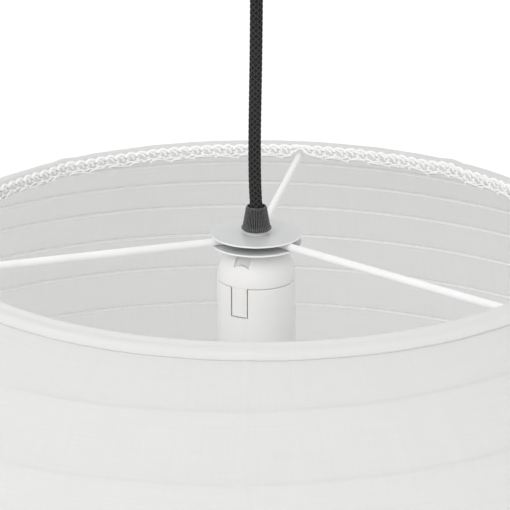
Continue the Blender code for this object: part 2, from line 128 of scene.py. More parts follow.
# ---- lampholder ----
LATCH_ANGLE = math.radians(244)
LATCH_STEPS = 24                   # of the cap's 360 one-degree columns
HOLDER_RADIUS = 0.0199
CAP_RADIUS = 0.0198
CAP_DOME = 0.0209                  # height of the whole oval dome
CAP_SEAM_H = -0.0234
CAP_INSIDE = (                     # (radius, H) from the seam up to the cap's ceiling
    (0.0174, -0.0234), (0.0170, -0.0185), (0.0158, -0.0150), (0.0138, -0.0115),
    (0.0098, -0.0080), (HUB_BORE, -0.0080),
)
CAP_ROWS = 26
KEY_ANGLE = math.radians(4)        # of the arched key line on the cap
KEY_HALF_SPAN = math.radians(32)
KEY_FOOT, KEY_ARCH = -0.0006, 0.0058   # above the seam
KEY_LINE = 0.00055
NOTCH_HALF = 0.0041                # the screwdriver recess above the tongue
NOTCH_FOOT_H = -0.0138
NOTCH_ARCH = 0.0012
NOTCH_DEPTH = 0.0014
LATCH_FOOT_H = -0.0385
SLOT_GAP = 0.00058                 # round the latch
BODY_BORE = 0.0173
BODY_LIP_BORE = 0.0150             # of the turned-in lip at the body's mouth
BODY_LIP = 0.0018
INSERT_RADIUS = 0.0169
SOCKET_BORE = 0.0142
SOCKET_FLOOR_H = -0.0380
RIVET_BORE = 0.0015
ROUNDING = 0.0004
THREAD_RADIUS = 0.01325            # middle of the screw shell's rounded thread
THREAD_SWING = 0.00045
THREAD_PITCH = 0.0036
BRASS_SHEET = 0.0003

# ---- cord grips, cable, ceiling cup ----
GRIP_RIBS = 44
GRIP_LENGTH = 0.0121
GRIP_FOOT_H = 0.0018
GRIP_MOUTH = 0.00525
GRIP_FLANGE = 0.0076
GRIP_CONE_FOOT = 0.0069
GRIP_THROAT = 0.0035
GRIP_MOUTH_DEPTH = 0.0021
RIB_DEPTH = 0.00060
CABLE_RADIUS = 0.0031
CABLE_STRANDS = 12
CABLE_BOW = 0.0009
CABLE_LAY = 0.0168                 # length in which a strand goes once round
BRAID_COLUMNS = 96
BRAID_STEP = 0.0003
BRAID_DEPTH = 0.00052
CUP_RADIUS = 0.0500
CUP_WALL = 0.0015
CUP_EDGE = 0.008
CUP_SCREW_Z = -0.0085
CUP_SCREW_HOLE = 0.0018

# ---- camera ----
CAMERA_DISTANCE = 0.820            # from the hub
CAMERA_PITCH = math.radians(18.4)  # looking down
CAMERA_LENS = 115.765              # mm, on a sensor 36 mm wide
CAMERA_SENSOR = 36.0
AIM_BELOW_HUB = 0.0114             # of the view's centre, measured across the view
AIM_LEFT_OF_HUB = 0.00075

# ---- studio ----
WORLD_STRENGTH = 0.92
LIGHT_SIZE = 1.6
LIGHTS = {                         # place and power
    "key_left": ((-1.3, -1.5, 1.3), 12),
    "fill_front": ((-0.5, -2.2, 0.5), 9),
}
FLOOR_Z, FLOOR_FRONT, FLOOR_BACK = -1.7, -30.0, 5.0
FLOOR_BEND, WALL_TOP = 2.0, 9.0
FLOOR_HALF_WIDTH = 30.0


def at(height):
    """The z of a height measured from the top of the upper hub plate."""
    return HUB_Z + height


# ---------------------------------------------------------------- the shell's curve


def shell_scale():
    """Half height of the whole oval, whose ends the openings cut off."""
    cut_share = OPENING_RADIUS / SHADE_RADIUS
    return HALF_HEIGHT / math.sqrt(1 - cut_share ** 2)


def shell_radius(depth):
    share = (HALF_HEIGHT - depth) / shell_scale()
    return SHADE_RADIUS * np.sqrt(1 - share ** 2)


DEPTHS = np.linspace(0, 2 * HALF_HEIGHT, PROFILE_STEPS)
RADII = shell_radius(DEPTHS)
LENGTHS = np.concatenate(([0.0], np.cumsum(np.hypot(np.diff(DEPTHS), np.diff(RADII)))))
SHELL_LENGTH = LENGTHS[-1]
PITCH = SHELL_LENGTH / TURNS


def depth_at(length):
    """The depth below the rim after a length along the cloth."""
    return np.interp(length, LENGTHS, DEPTHS)


def spiral_share(azimuth):
    """How far round one turn the spiral is at an azimuth, from 0 to 1."""
    return np.mod((SPIRAL_START - azimuth) / (2 * math.pi), 1.0)


def cloth_point(azimuth, length, lift=0.0):
    """A point of the cloth: on the oval, drawn in between the turns of the wire."""
    share = spiral_share(azimuth)
    turn = length / PITCH - share
    before = np.clip(np.floor(turn), -1, TURNS - 1)
    low = np.where(before < 0, -share, before)
    high = np.where(before >= TURNS - 1, TURNS - share, before + 1)
    span = np.maximum(high - low, 1e-6)
    inside = np.clip((turn - low) / span, 0, 1)
    sag = CLOTH_SAG * span ** 2 * 4 * inside * (1 - inside)
    seam = np.mod(azimuth - SEAM_ANGLE + math.pi, 2 * math.pi) - math.pi
    depth = depth_at(length)
    radius = shell_radius(depth)
    seam_ridge = SEAM_HEIGHT * np.exp(-((seam * radius / SEAM_HALF_WIDTH) ** 4))
    away = lift - sag + seam_ridge + ripple(azimuth, length) * np.sqrt(inside * (1 - inside))
    slope = shell_slope(depth)
    radius = radius + away * np.cos(slope)
    z = RIM_Z - depth + away * np.sin(slope)
    return np.stack([radius * np.cos(azimuth), radius * np.sin(azimuth), z], -1)


def shell_slope(depth):
    """The angle above level of the cloth's outward normal."""
    share = (HALF_HEIGHT - depth) / shell_scale()
    run = SHADE_RADIUS * share / shell_scale() / np.sqrt(1 - share ** 2)
    return np.arctan(run)


def ripple(azimuth, length):
    """Soft unevenness of stretched cloth, from a few waves whose lengths don't repeat."""
    a = np.sin(23 * azimuth + 61 * length + 1.3) * np.sin(7 * azimuth - 143 * length)
    b = np.sin(41 * azimuth - 97 * length + 0.4) * np.sin(11 * azimuth + 33 * length + 2.1)
    c = np.sin(83 * azimuth + 29 * length + 3.0)
    return CLOTH_RIPPLE * (a + 0.7 * b + 0.35 * c)


# ---------------------------------------------------------------- mesh helpers


def link(name, mesh, finish):
    piece = bpy.data.objects.new(name, mesh)
    bpy.context.scene.collection.objects.link(piece)
    mesh.materials.append(finish)
    return piece


def grid_mesh(name, points, closed_across=True, closed_along=False):
    """A mesh through points[row, column]. closed_across joins the last column to the first."""
    rows, columns = points.shape[:2]
    faces = []
    for i in range(rows if closed_along else rows - 1):
        for j in range(columns if closed_across else columns - 1):
            a, b = i * columns + j, i * columns + (j + 1) % columns
            c, d = ((i + 1) % rows) * columns + (j + 1) % columns, ((i + 1) % rows) * columns + j
            faces.append((a, b, c, d))
    mesh = bpy.data.meshes.new(name)
    mesh.from_pydata(points.reshape(-1, 3).tolist(), [], faces)
    mesh.polygons.foreach_set("use_smooth", [True] * len(mesh.polygons))
    return mesh


def lay_uv(mesh, across, along):
    """A map of lengths on the cloth, in metres, for materials that weave."""
    layer = mesh.uv_layers.new(name="cloth")
    corners = np.zeros(len(mesh.loops), np.int32)
    mesh.loops.foreach_get("vertex_index", corners)
    values = np.stack([across.ravel()[corners], along.ravel()[corners]], -1)
    layer.data.foreach_set("uv", values.astype(np.float32).ravel())


def smooth_by(mesh, degrees):
    mesh.polygons.foreach_set("use_smooth", [True] * len(mesh.polygons))
    mesh.set_sharp_from_angle(angle=math.radians(degrees))


def tube_points(path, radius, sides, closed=False):
    """Rings of points round a path, with a frame that doesn't twist."""
    path = np.asarray(path, float)
    if closed:
        tangent = np.roll(path, -1, 0) - np.roll(path, 1, 0)
    else:
        tangent = np.gradient(path, axis=0)
    tangent /= np.linalg.norm(tangent, axis=1)[:, None]
    up = np.array([0.0, 0.0, 1.0])
    side = np.cross(tangent, up)
    flat = np.linalg.norm(side, axis=1) < 1e-6
    side[flat] = (1.0, 0.0, 0.0)
    side /= np.linalg.norm(side, axis=1)[:, None]
    top = np.cross(side, tangent)
    angle = np.arange(sides) * 2 * math.pi / sides
    radius = np.broadcast_to(np.asarray(radius, float), (len(path),))
    spread = side[:, None] * np.cos(angle)[None, :, None] + top[:, None] * np.sin(angle)[None, :, None]
    return path[:, None] + spread * radius[:, None, None]


def close_up(mesh, columns=0):
    """Turn all faces outwards. With columns, first close a tube's two open ends."""
    work = bmesh.new()
    work.from_mesh(mesh)
    if columns:
        work.verts.ensure_lookup_table()
        count = len(work.verts)
        for ends in (range(columns), range(count - columns, count)):
            work.faces.new([work.verts[i] for i in ends])
    bmesh.ops.recalc_face_normals(work, faces=work.faces)
    work.to_mesh(mesh)
    work.free()
    return mesh


def tube(name, path, radius, sides, finish, closed=False):
    mesh = grid_mesh(name, tube_points(path, radius, sides, closed), True, closed)
    close_up(mesh, 0 if closed else sides)
    smooth_by(mesh, 50)
    return link(name, mesh, finish)


def lathe_points(profile, columns, wave=None):
    """A closed profile of (radius, z) turned round Z. wave(row, angle) is added to the radius."""
    angle = np.arange(columns) * 2 * math.pi / columns
    profile = np.asarray(profile, float)
    radius = np.repeat(profile[:, :1], columns, 1)
    if wave is not None:
        radius = radius + wave(profile, angle)
    z = np.repeat(profile[:, 1:], columns, 1)
    return np.stack([radius * np.cos(angle), radius * np.sin(angle), z], -1)


def lathe(name, profile, columns, finish, wave=None, sharp=35):
    mesh = grid_mesh(name, lathe_points(profile, columns, wave), True, True)
    work = bmesh.new()
    work.from_mesh(mesh)
    bmesh.ops.remove_doubles(work, verts=work.verts, dist=1e-7)
    bmesh.ops.recalc_face_normals(work, faces=work.faces)
    work.to_mesh(mesh)
    work.free()
    smooth_by(mesh, sharp)
    return link(name, mesh, finish)


def rounded_profile(corners, radius, steps=4):
    """The closed outline through the corners given, with each corner rounded."""
    out = []
    count = len(corners)
    for i in range(count):
        here = Vector(corners[i])
        back = Vector(corners[i - 1]) - here
        ahead = Vector(corners[(i + 1) % count]) - here
        reach = min(radius, back.length * 0.45, ahead.length * 0.45)
        a, b = here + back.normalized() * reach, here + ahead.normalized() * reach
        for k in range(steps + 1):
            t = k / steps
            out.append(tuple(a * (1 - t) ** 2 + here * 2 * t * (1 - t) + b * t ** 2))
    return out


def cut_away(piece, cutter, sharp=35):
    """Take the cutter's shape out of a piece for good, and remove the cutter."""
    boolean = piece.modifiers.new("cut", "BOOLEAN")
    boolean.object = cutter
    boolean.solver = "EXACT"
    bpy.context.view_layer.update()
    seen = piece.evaluated_get(bpy.context.evaluated_depsgraph_get())
    mesh = bpy.data.meshes.new_from_object(seen)
    piece.modifiers.clear()
    piece.data = mesh
    bpy.data.objects.remove(cutter, do_unlink=True)
    smooth_by(mesh, sharp)
    return piece


def block(name, size, centre, turn):
    """A box to cut with."""
    mesh = bpy.data.meshes.new(name)
    work = bmesh.new()
    bmesh.ops.create_cube(work, size=1.0, matrix=Matrix.Diagonal((*size, 1)))
    work.to_mesh(mesh)
    work.free()
    made = bpy.data.objects.new(name, mesh)
    bpy.context.scene.collection.objects.link(made)
    made.matrix_world = Matrix.Translation(centre) @ Matrix.Rotation(turn, 4, "Z")
    return made


def polar(radius, angle, z=0.0):
    return Vector((radius * math.cos(angle), radius * math.sin(angle), z))


def blend_turn(piece):
    """Bake a piece's placement into its mesh."""
    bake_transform(piece)


# ---------------------------------------------------------------- materials


class Nodes:
    """A short way to write a material's node tree."""

    def __init__(self, name):
        self.material = bpy.data.materials.new(name)
        self.material.use_nodes = True
        self.tree = self.material.node_tree
        self.shader = self.tree.nodes["Principled BSDF"]
        self.out = self.tree.nodes["Material Output"]

    def add(self, kind, **values):
        node = self.tree.nodes.new(kind)
        for key, value in values.items():
            setattr(node, key, value)
        return node

    def wire(self, a, b):
        self.tree.links.new(a, b)

    def place(self, scale, kind="Object"):
        """Coordinates stretched by scale. kind is an output of Texture Coordinate."""
        source = self.add("ShaderNodeTexCoord")
        mapping = self.add("ShaderNodeMapping")
        mapping.inputs["Scale"].default_value = scale
        self.wire(source.outputs[kind], mapping.inputs["Vector"])
        return mapping.outputs["Vector"]

    def cloth_place(self, scale):
        source = self.add("ShaderNodeUVMap", uv_map="cloth")
        mapping = self.add("ShaderNodeMapping")
        mapping.inputs["Scale"].default_value = scale
        self.wire(source.outputs["UV"], mapping.inputs["Vector"])
        return mapping.outputs["Vector"]

    def noise(self, vector, scale, detail=3.0, rough=0.55):
        node = self.add("ShaderNodeTexNoise")
        node.inputs["Scale"].default_value = scale
        node.inputs["Detail"].default_value = detail
        node.inputs["Roughness"].default_value = rough
        self.wire(vector, node.inputs["Vector"])
        return node.outputs["Fac"]

    def wave(self, vector, scale, direction):
        node = self.add("ShaderNodeTexWave", bands_direction=direction)
        node.inputs["Scale"].default_value = scale
        node.inputs["Distortion"].default_value = 0.6
        node.inputs["Detail"].default_value = 1.0
        self.wire(vector, node.inputs["Vector"])
        return node.outputs["Fac"]

    def maths(self, operation, a, b=0.0):
        node = self.add("ShaderNodeMath", operation=operation)
        for socket, value in zip(node.inputs, (a, b)):
            if isinstance(value, (int, float)):
                socket.default_value = value
            else:
                self.wire(value, socket)
        return node.outputs[0]

    def ramp(self, value, stops):
        """A colour for a value, through stops of (position, colour)."""
        node = self.add("ShaderNodeValToRGB")
        elements = node.color_ramp.elements
        while len(elements) < len(stops):
            elements.new(0.5)
        for element, (position, colour) in zip(elements, stops):
            element.position = position
            element.color = (*colour, 1)
        self.wire(value, node.inputs["Fac"])
        return node.outputs["Color"]

    def scaled(self, value, low, high):
        """A value from 0 to 1 moved to the range from low to high."""
        node = self.add("ShaderNodeMapRange")
        node.inputs["To Min"].default_value = low
        node.inputs["To Max"].default_value = high
        self.wire(value, node.inputs["Value"])
        return node.outputs["Result"]

    def bump(self, height, strength, distance):
        node = self.add("ShaderNodeBump")
        node.inputs["Strength"].default_value = strength
        node.inputs["Distance"].default_value = distance
        self.wire(height, node.inputs["Height"])
        self.wire(node.outputs["Normal"], self.shader.inputs["Normal"])
        return node.outputs["Normal"]

    def set(self, **values):
        for key, value in values.items():
            self.shader.inputs[key.replace("_", " ")].default_value = value


def cloth_material(name, light, dark, see_through):
    """Plain-woven white cloth with uneven yarns. It lets some light through."""
    n = Nodes(name)
    fine = n.cloth_place((1.0, 1.0, 1.0))
    warp = n.wave(fine, 640.0, "X")
    weft = n.wave(fine, 640.0, "Y")
    weave = n.maths("MULTIPLY", warp, weft)
    slubs_up = n.noise(n.cloth_place((900.0, 26.0, 1.0)), 1.0, 2.0)
    slubs_across = n.noise(n.cloth_place((22.0, 800.0, 1.0)), 1.0, 2.0)
    slubs = n.maths("ADD", slubs_up, slubs_across)
    clouds = n.noise(n.place((1, 1, 1)), 9.0, 2.0)
    tone = n.maths("ADD", n.maths("MULTIPLY", slubs, 0.34), n.maths("MULTIPLY", weave, 0.18))
    tone = n.maths("ADD", tone, n.maths("MULTIPLY", clouds, 0.25))
    colour = n.ramp(tone, [(0.25, dark), (0.75, light)])
    n.wire(colour, n.shader.inputs["Base Color"])
    n.set(Roughness=0.92, Specular_IOR_Level=0.25, Sheen_Weight=0.06, Sheen_Roughness=0.5)
    height = n.maths("ADD", weave, n.maths("MULTIPLY", slubs, 0.8))
    normal = n.bump(height, 0.22, 0.0003)
    let_light_through(n, colour, see_through, normal)
    return n.material


def let_light_through(n, colour, share, normal):
    """Mix the material's surface with a share of light that comes through from behind."""
    glow = n.add("ShaderNodeBsdfTranslucent")
    n.wire(colour, glow.inputs["Color"])
    n.wire(normal, glow.inputs["Normal"])
    mix = n.add("ShaderNodeMixShader")
    mix.inputs["Fac"].default_value = share
    n.wire(n.shader.outputs[0], mix.inputs[1])
    n.wire(glow.outputs[0], mix.inputs[2])
    n.wire(mix.outputs[0], n.out.inputs["Surface"])


def sleeve_material():
    """The bright thin sleeve in which the spiral wire is glued to the cloth."""
    n = Nodes("wire_sleeve")
    grain = n.noise(n.place((1, 1, 1)), 500.0, 2.0)
    colour = n.ramp(grain, [(0.3, (0.95, 0.95, 0.94)), (0.7, (0.98, 0.98, 0.97))])
    n.wire(colour, n.shader.inputs["Base Color"])
    n.set(Roughness=0.6, Specular_IOR_Level=0.3)
    n.bump(grain, 0.1, 0.0001)
    return n.material


def thread_material():
    """Fluffy white overlock thread."""
    n = Nodes("edging_thread")
    fibres = n.noise(n.place((1, 1, 1)), 2200.0, 3.0, 0.7)
    colour = n.ramp(fibres, [(0.3, (0.95, 0.95, 0.94)), (0.7, (0.99, 0.99, 0.98))])
    n.wire(colour, n.shader.inputs["Base Color"])
    n.set(Roughness=0.85, Specular_IOR_Level=0.3, Sheen_Weight=0.2, Sheen_Roughness=0.4)
    n.bump(fibres, 0.15, 0.0001)
    return n.material


def paint_material(name, light, dark, rough):
    """Glossy powder paint with a faint orange peel and dulled spots."""
    n = Nodes(name)
    peel = n.noise(n.place((1, 1, 1)), 900.0, 2.0)
    wear = n.noise(n.place((1, 1, 1)), 60.0, 4.0, 0.6)
    n.wire(n.ramp(wear, [(0.35, dark), (0.65, light)]), n.shader.inputs["Base Color"])
    n.wire(n.scaled(wear, rough - 0.05, rough + 0.08), n.shader.inputs["Roughness"])
    n.set(Coat_Weight=0.1, Coat_Roughness=0.2, Specular_IOR_Level=0.4)
    n.bump(peel, 0.02, 0.0001)
    return n.material


def plastic_material(name, light, dark, rough, grain):
    """A moulding with a fine eroded grain and faint clouding."""
    n = Nodes(name)
    fine = n.noise(n.place((1, 1, 1)), grain, 3.0, 0.6)
    clouds = n.noise(n.place((1, 1, 1)), 45.0, 3.0)
    n.wire(n.ramp(clouds, [(0.3, dark), (0.7, light)]), n.shader.inputs["Base Color"])
    n.wire(n.scaled(fine, rough - 0.06, rough + 0.08), n.shader.inputs["Roughness"])
    n.set(Specular_IOR_Level=0.45)
    n.bump(fine, 0.12, 0.0001)
    return n.material


def grip_material():
    """Ribbed black plastic. The ribs' crests are painted grey and their valleys black: painted
    highlight and painted shade along the ribs.
    """
    n = Nodes("ribbed_plastic")
    radial = n.add("ShaderNodeTexGradient", gradient_type="RADIAL")
    n.wire(n.place((1, 1, 1)), radial.inputs["Vector"])
    turns = n.maths("MULTIPLY", radial.outputs["Fac"], 2 * math.pi * GRIP_RIBS)
    # painted highlight on the rib crests, painted shade in the valleys between them
    painted_rib_light = n.maths("COSINE", turns)
    fine = n.noise(n.place((1, 1, 1)), 1100.0, 3.0, 0.6)
    tone = n.maths("ADD", n.maths("MULTIPLY", painted_rib_light, 0.5), fine)
    colour = n.ramp(tone, [(0.25, (0.006, 0.006, 0.006)), (1.0, (0.14, 0.14, 0.142))])
    n.wire(colour, n.shader.inputs["Base Color"])
    n.set(Roughness=0.36, Specular_IOR_Level=0.45)
    n.bump(fine, 0.12, 0.0001)
    return n.material


def metal_material(name, light, dark, rough, stretch):
    """Bare metal with drawn or rolled streaks along one axis."""
    n = Nodes(name)
    streaks = n.noise(n.place(stretch), 60.0, 4.0, 0.65)
    n.wire(n.ramp(streaks, [(0.3, dark), (0.7, light)]), n.shader.inputs["Base Color"])
    n.wire(n.scaled(streaks, rough - 0.08, rough + 0.12), n.shader.inputs["Roughness"])
    n.set(Metallic=1.0)
    n.bump(streaks, 0.08, 0.0001)
    return n.material


def braid_material():
    """Matt black braid with painted light: a few greyer filaments painted on as glints, and the raised
    strands painted lighter than the grooves between them, which carry painted shade.
    """
    n = Nodes("black_braid")
    filaments = n.noise(n.place((1.0, 1.0, 0.35)), 3400.0, 2.0, 0.7)
    # the strands' height, turned into painted highlight on the raised strands and painted shade in the
    # grooves
    lift = n.add("ShaderNodeAttribute", attribute_name="strand_lift_shading")
    tone = n.maths("ADD", n.maths("MULTIPLY", filaments, 0.35), lift.outputs["Fac"])
    colour = n.ramp(tone, [(0.60, (0.001, 0.001, 0.001)), (1.0, (0.058, 0.059, 0.061))])
    n.wire(colour, n.shader.inputs["Base Color"])
    n.set(Roughness=0.85, Specular_IOR_Level=0.08)
    n.bump(filaments, 0.4, 0.0001)
    return n.material


CLOTH = cloth_material("white_cloth", (0.82, 0.82, 0.815), (0.76, 0.76, 0.755), 0.40)
# The rim's hem is the same white cloth painted darker than the shell's: painted shade that dulls a rim
# facing up into the light
HEM_CLOTH_SHADED = cloth_material("hem_cloth_shaded", (0.76, 0.76, 0.755), (0.71, 0.71, 0.705), 0.06)
THREAD = thread_material()
WIRE_COAT = sleeve_material()
WHITE_PAINT = paint_material("white_paint", (0.89, 0.89, 0.89), (0.86, 0.86, 0.86), 0.34)
# A greyer copy of the white paint for the white hub plates' faces: painted shade standing for the dim
# reflection on their tops
PLATE_SHADED_PAINT = paint_material("plate_paint_shaded", (0.60, 0.605, 0.61), (0.57, 0.575, 0.58), 0.30)
HOLDER = plastic_material("holder_plastic", (0.84, 0.835, 0.82), (0.82, 0.815, 0.80), 0.42, 1400.0)
CERAMIC = plastic_material("insert_ceramic", (0.80, 0.79, 0.76), (0.74, 0.73, 0.70), 0.55, 700.0)
BLACK = plastic_material(
    "black_plastic", (0.078, 0.078, 0.080), (0.060, 0.060, 0.062), 0.34, 1100.0)
GRIP = grip_material()
NYLON = plastic_material("white_nylon", (0.84, 0.84, 0.82), (0.80, 0.80, 0.78), 0.5, 600.0)
BRAID = braid_material()
BRASS = metal_material("contact_brass", (0.80, 0.62, 0.30), (0.66, 0.50, 0.24), 0.3, (1, 1, 8))
ZINC = metal_material("zinc_steel", (0.70, 0.71, 0.73), (0.56, 0.57, 0.60), 0.34, (6, 1, 1))


# ---------------------------------------------------------------- cloth and wire


def azimuths():
    """Columns round the shade, in the spiral's own direction."""
    return SPIRAL_START - np.arange(AROUND) * 2 * math.pi / AROUND


def cloth_normals(azimuth, length):
    """The cloth's own normals, so that two bands meet without a line between them."""
    small = 0.0004
    along = cloth_point(azimuth, length + small) - cloth_point(azimuth, length - small)
    around = cloth_point(azimuth + 0.002, length) - cloth_point(azimuth - 0.002, length)
    normal = np.cross(around, -along)
    return normal / np.linalg.norm(normal, axis=-1)[..., None]


def make_band(number):
    azimuth = azimuths()
    high, low = (number - 1) * PITCH, number * PITCH
    if number == 1:
        high = HEM_OVERLAP
    if number == TURNS:
        low = SHELL_LENGTH - HEM_OVERLAP
    length = np.linspace(high, low, BAND_ROWS + 1)[:, None] + 0 * azimuth[None, :]
    azimuth = azimuth[None, :] + 0 * length
    points = cloth_point(azimuth, length)
    name = f"cloth_band_{number:02d}"
    mesh = grid_mesh(name, points)
    lay_uv(mesh, (SPIRAL_START - azimuth) * SHADE_RADIUS, length)
    normals = cloth_normals(azimuth, np.clip(length, 0.0005, SHELL_LENGTH - 0.0005))
    mesh.normals_split_custom_set_from_vertices(normals.reshape(-1, 3).tolist())
    band = link(name, mesh, CLOTH)
    blend_turn(band)
    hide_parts(f"fabric_band_{number:02d}")


def make_wire_turn(number):
    """One turn of the spiral, glued to the inside of the cloth."""
    first = HIDDEN_SHARE if number == 1 else 0.0
    last = 1 - HIDDEN_SHARE if number == TURNS else 1.0
    share = np.linspace(first, last, AROUND + 1)
    azimuth = SPIRAL_START - 2 * math.pi * share
    length = (number - 1 + share) * PITCH
    depth = depth_at(length)
    slope = shell_slope(depth)
    inset = WIRE_RADIUS + WIRE_GLUE
    radius = shell_radius(depth) - inset * np.cos(slope)
    z = RIM_Z - depth - inset * np.sin(slope)
    path = np.stack([radius * np.cos(azimuth), radius * np.sin(azimuth), z], -1)
    name = f"spiral_wire_{number:02d}"
    wire = tube(name, path, WIRE_RADIUS, WIRE_SIDES, WIRE_COAT)
    blend_turn(wire)
    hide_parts(f"wire_turn_{number:02d}")


# ---------------------------------------------------------------- rolled rims


def nearness(azimuth, angle, width):
    """1 at an angle, falling to 0 over a width in degrees on both sides."""
    gap = np.mod(azimuth - angle + math.pi, 2 * math.pi) - math.pi
    return np.exp(-((gap / math.radians(width)) ** 2))


def rim_kink(azimuth):
    """How far the ring's two slight bends stand proud, in metres."""
    return sum(KINK_HEIGHT * nearness(azimuth, angle, 2.6) for angle in RIM_KINKS)


def flap_drop(azimuth, with_spokes):
    """How far the inner flap hangs below the ring's centre. It is tucked up over a spoke."""
    drop = FLAP_DROP + 0.0004 * np.sin(31 * azimuth) + 0.0003 * np.sin(57 * azimuth + 1)
    if not with_spokes:
        return drop
    for degrees in SPOKES.values():
        drop = drop - (FLAP_DROP - 0.0017) * nearness(azimuth, math.radians(degrees), 1.5)
    return drop


def hem_lift(length):
    """The hem's height over the shell: tucked in at the roll, proud of the cloth below."""
    share = min(length / HEM_OVERLAP, 1.0)
    bead = 0.00035 * math.exp(-(((HEM_LENGTH - length) / 0.0008) ** 2))
    return (HEM_LIFT + HEM_TUCK) * share ** 2 * (3 - 2 * share) - HEM_TUCK + bead


def rim_section(azimuth, side, ring_z, with_spokes):
    """Rows of points from the hem's outer edge, over the ring and down the inner flap."""
    rows = []
    level = 0 * azimuth
    edge = HEM_LENGTH if side > 0 else SHELL_LENGTH - HEM_LENGTH
    rows.append(cloth_point(azimuth, edge + level))
    for length in np.linspace(HEM_LENGTH, 0, 14):
        along = length if side > 0 else SHELL_LENGTH - length
        rows.append(cloth_point(azimuth, along + level, hem_lift(length)))
    kink = rim_kink(azimuth) if side > 0 else level
    for degrees in np.linspace(66, 180, 10):
        angle = math.radians(degrees)
        radius = RING_RADIUS + ROLL_RADIUS * math.cos(angle) + kink
        z = ring_z + side * (ROLL_RADIUS * math.sin(angle) + kink * 0.8)
        rows.append(np.stack([radius * np.cos(azimuth), radius * np.sin(azimuth), z], -1))
    drop = flap_drop(azimuth, with_spokes)
    pucker = 0.0003 * np.sin(LOOP_COUNT * azimuth) + 0.0004 * np.sin(43 * azimuth)
    for share in np.linspace(0.12, 1, 8):
        radius = RING_RADIUS - ROLL_RADIUS + kink + pucker * share - 0.0003 * share
        z = ring_z - side * (drop * share - kink * 0.8)
        rows.append(np.stack([radius * np.cos(azimuth), radius * np.sin(azimuth), z], -1))
    return np.stack(rows)


def make_rim(name, node, body, side, ring_z):
    columns = 2 * AROUND
    azimuth = SPIRAL_START - np.arange(columns) * 2 * math.pi / columns
    points = rim_section(azimuth, side, ring_z, side > 0)
    if side > 0:
        points = points[::-1]
    mesh = grid_mesh(name, points)
    steps = np.linalg.norm(np.diff(points, axis=0), axis=-1).mean(1)
    along = np.concatenate(([0.0], np.cumsum(steps)))
    across = (SPIRAL_START - azimuth) * SHADE_RADIUS
    lay_uv(mesh, across[None, :] + 0 * along[:, None], along[:, None] + 0 * across[None, :])
    # the rim wears the darker copy of the cloth, which is painted shade
    rim = link(name, mesh, HEM_CLOTH_SHADED)
    thick = rim.modifiers.new("two layers", "SOLIDIFY")
    thick.thickness = RIM_CLOTH
    thick.offset = -1
    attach(rim, body)
    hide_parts(node)


def edging_path(side, ring_z, with_spokes, thread):
    """A thread of the overlocked edge, on the flap's inner face, as points all round."""
    t = np.arange(LOOP_COUNT * LOOP_POINTS) / LOOP_POINTS
    seeds = [Vector((math.floor(x) * 0.73, 5.1 * thread.row, side)) for x in t]
    jitter = np.array([noise.noise(seed) for seed in seeds])
    turn = 2 * math.pi * t * thread.rate

    def follow(wave):
        return wave.middle + wave.swing * np.sin(turn + wave.phase) + wave.jitter * jitter

    azimuth = SPIRAL_START + (t + follow(thread.along)) * 2 * math.pi / LOOP_COUNT
    kink = rim_kink(azimuth) if side > 0 else 0 * azimuth
    drop = flap_drop(azimuth, with_spokes)
    z = ring_z + side * (EDGING_TOP + kink * 0.8 - (drop + EDGING_TOP) * follow(thread.down))
    radius = RING_RADIUS - ROLL_RADIUS - follow(thread.reach) + kink
    return np.stack([radius * np.cos(azimuth), radius * np.sin(azimuth), z], -1)


def make_edging(prefix, body, side, ring_z, with_spokes):
    """The overlocked edge: a looping thread, one that fills it, and two along the foot."""
    for thread in EDGING:
        path = edging_path(side, ring_z, with_spokes, thread)
        piece = tube(f"{prefix}_{thread.word}", path, thread.radius, 6, THREAD, closed=True)
        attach(piece, body)


def make_ring(name, node, body, z):
    angle = np.arange(256) * 2 * math.pi / 256
    path = np.stack([RING_RADIUS * np.cos(angle), RING_RADIUS * np.sin(angle), z + 0 * angle], -1)
    ring = tube(name, path, RING_WIRE - 0.0001, 14, WHITE_PAINT, closed=True)
    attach(ring, body)
    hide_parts(node)


# ---------------------------------------------------------------- hub


def make_spoke(name, degrees):
    """A straight wire spoke whose outer end is welded under the ring."""
    low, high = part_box(name)
    z = (low.z + high.z) / 2
    angle = math.radians(degrees)
    inner, outer = SPOKE_ENDS
    share = np.linspace(0, 1, 60)
    radius = inner + (outer - inner) * share
    path = np.stack([radius * np.cos(angle), radius * np.sin(angle), z + 0 * share], -1)
    end = np.clip((outer - radius) / 0.0012, 0, 1)
    thick = SPOKE_RADIUS * (0.55 + 0.45 * np.sqrt(end))
    spoke = tube(f"{name}_bar", path, thick, 24, WHITE_PAINT)
    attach(spoke, "shade")
    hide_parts(name)


def make_plate(name, boss):
    """A hub plate. boss is the height of its raised middle, pressed up under the cord grip."""
    low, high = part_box(name)
    top = low.z + PLATE_THICKNESS
    radius = (high.x - low.x) / 2
    corners = [(radius, top), (radius, low.z), (HUB_BORE, low.z), (HUB_BORE, top + boss)]
    if boss:
        corners += [(BOSS_TOP, top + boss), (BOSS_FOOT, top)]
    outline = rounded_profile(corners, PLATE_ROUNDING, 3)
    plate = lathe(f"{name}_disc", outline, 160, PLATE_SHADED_PAINT, sharp=60)
    # The faces keep the grey paint, which is painted shade; the rounded rims take the plain white
    # paint, so they read as a bright edge line against it
    plate.data.materials.append(WHITE_PAINT)
    for face in plate.data.polygons:
        if abs(face.normal.z) < 0.75 and face.center.xy.length > radius - 0.001:
            face.material_index = 1
    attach(plate, "shade")
    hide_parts(name)


# ---------------------------------------------------------------- lampholder


def cap_radius(z):
    """The cap is the lower part of an oval dome that stands on the seam."""
    return CAP_RADIUS * math.sqrt(1 - ((z - at(CAP_SEAM_H)) / CAP_DOME) ** 2)


